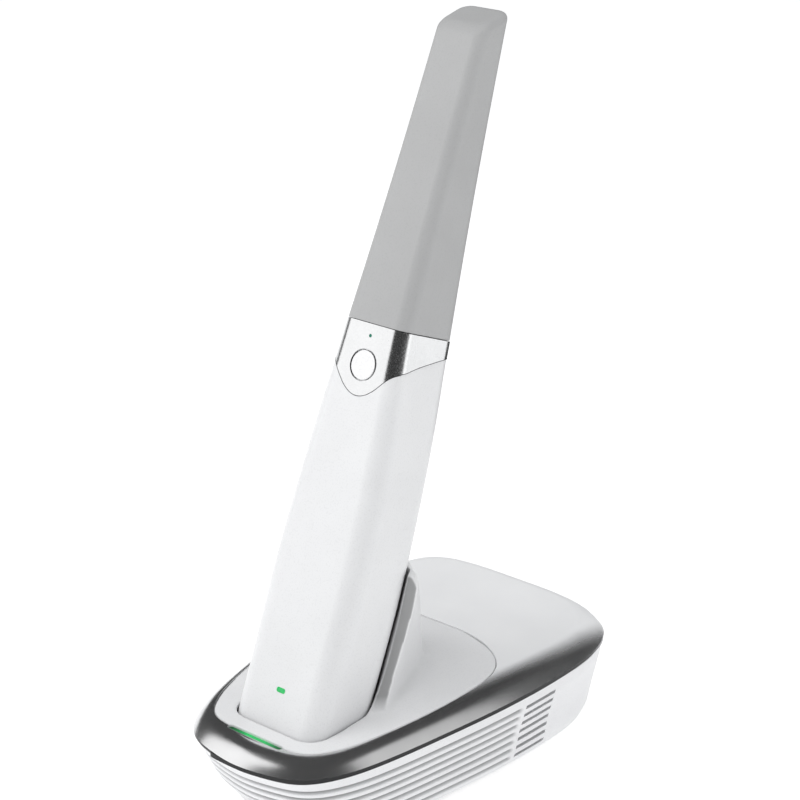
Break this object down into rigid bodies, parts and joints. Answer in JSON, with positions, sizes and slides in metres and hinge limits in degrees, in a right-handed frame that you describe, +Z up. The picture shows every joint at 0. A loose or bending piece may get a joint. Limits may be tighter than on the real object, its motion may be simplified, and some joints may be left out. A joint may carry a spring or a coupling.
{
  "type": "intraoral camera",
  "caption": "Slender leaning dental scanning handpiece with a removable angled tip, standing in a low wedge-shaped charging dock with a ribbed, vented casing.",
  "frame": {"origin": "centre of the dock's footprint, on the surface that the feet stand on", "axes": "+Z up, +Y to the dock's rear, +X to the dock's right seen from the front"},
  "size_m": [0.1085, 0.178, 0.2898],
  "materials": {
    "casing_white": "fine satin moulded plastic",
    "dark_trim": "glossy black",
    "cover_chrome": "satin chrome rim fading to satin white at the rear",
    "insert_white": "satin white",
    "handle_white": "satin white",
    "tip_grey": "matte grey, heat-proof",
    "band_chrome": "polished",
    "button_satin": "satin",
    "green_light": "lit light guide",
    "status_green": "small lit light guide",
    "black_plastic": "moulded",
    "rubber": "matte",
    "steel": "plain",
    "aluminium": "bead blasted",
    "copper_film": "laminated foil",
    "gold": "gold plated",
    "circuit_board": "solder mask",
    "glass": "coated optical glass",
    "mirror": "first-surface mirror",
    "battery_wrap": "shrink wrap"
  },
  "bodies": {
    "dock": {"lower_casing": "casing_white", "seam_trim": "dark_trim", "top_cover": "cover_chrome", "cradle_insert": "insert_white", "cradle_cup": "black_plastic", "pogo_block": "black_plastic", "light_bar": "green_light", "light_board": "circuit_board", "base_plate": "black_plastic", "rubber_feet": "rubber", "base_screws": "steel", "base_weight": "steel", "dock_board": "circuit_board", "board_posts": "steel", "radio_can": "steel", "heat_sink": "aluminium", "dock_antennas": "copper_film", "usb_inlet": "steel"},
    "contact_pins": {"pogo_pins": "gold"},
    "handpiece": {"end_cap": "handle_white", "charge_contacts": "gold", "cap_screws": "steel", "handle_shell": "handle_white", "power_light": "green_light", "metal_band": "band_chrome", "status_light": "status_green", "button_board": "circuit_board", "nose_tube": "black_plastic", "nose_window": "glass", "seal_ring": "rubber", "optics_block": "aluminium", "projector_barrel": "aluminium", "camera_barrel": "aluminium", "projector_lens": "glass", "camera_lens": "glass", "light_engine": "black_plastic", "sensor_board": "circuit_board", "chassis": "aluminium", "processor_board": "circuit_board", "heat_spreader": "copper_film", "battery": "battery_wrap", "battery_holder": "black_plastic", "power_board": "circuit_board", "hand_antenna": "copper_film"},
    "button": {"scan_button": "button_satin"},
    "tip": {"tip_sleeve": "tip_grey", "tip_mirror": "mirror"}
  },
  "joints": [
    {"name": "wand_lift", "type": "slide", "parent": "dock", "child": "handpiece", "axis": [0, 0.3891, 0.9212], "range_m": [0, 0.15]},
    {"name": "tip_pull", "type": "slide", "parent": "handpiece", "child": "tip", "axis": [0, 0.3891, 0.9212], "range_m": [0, 0.08]},
    {"name": "button_press", "type": "slide", "parent": "handpiece", "child": "button", "axis": [0, 0.9212, -0.3891], "range_m": [0, 0.0006], "stiffness_N_per_m": 1500, "springref_m": -0.0004},
    {"name": "pin_press", "type": "slide", "parent": "dock", "child": "contact_pins", "axis": [0, 0.3891, 0.9212], "range_m": [-0.001, 0], "stiffness_N_per_m": 300, "springref_m": 0.001}
  ]
}
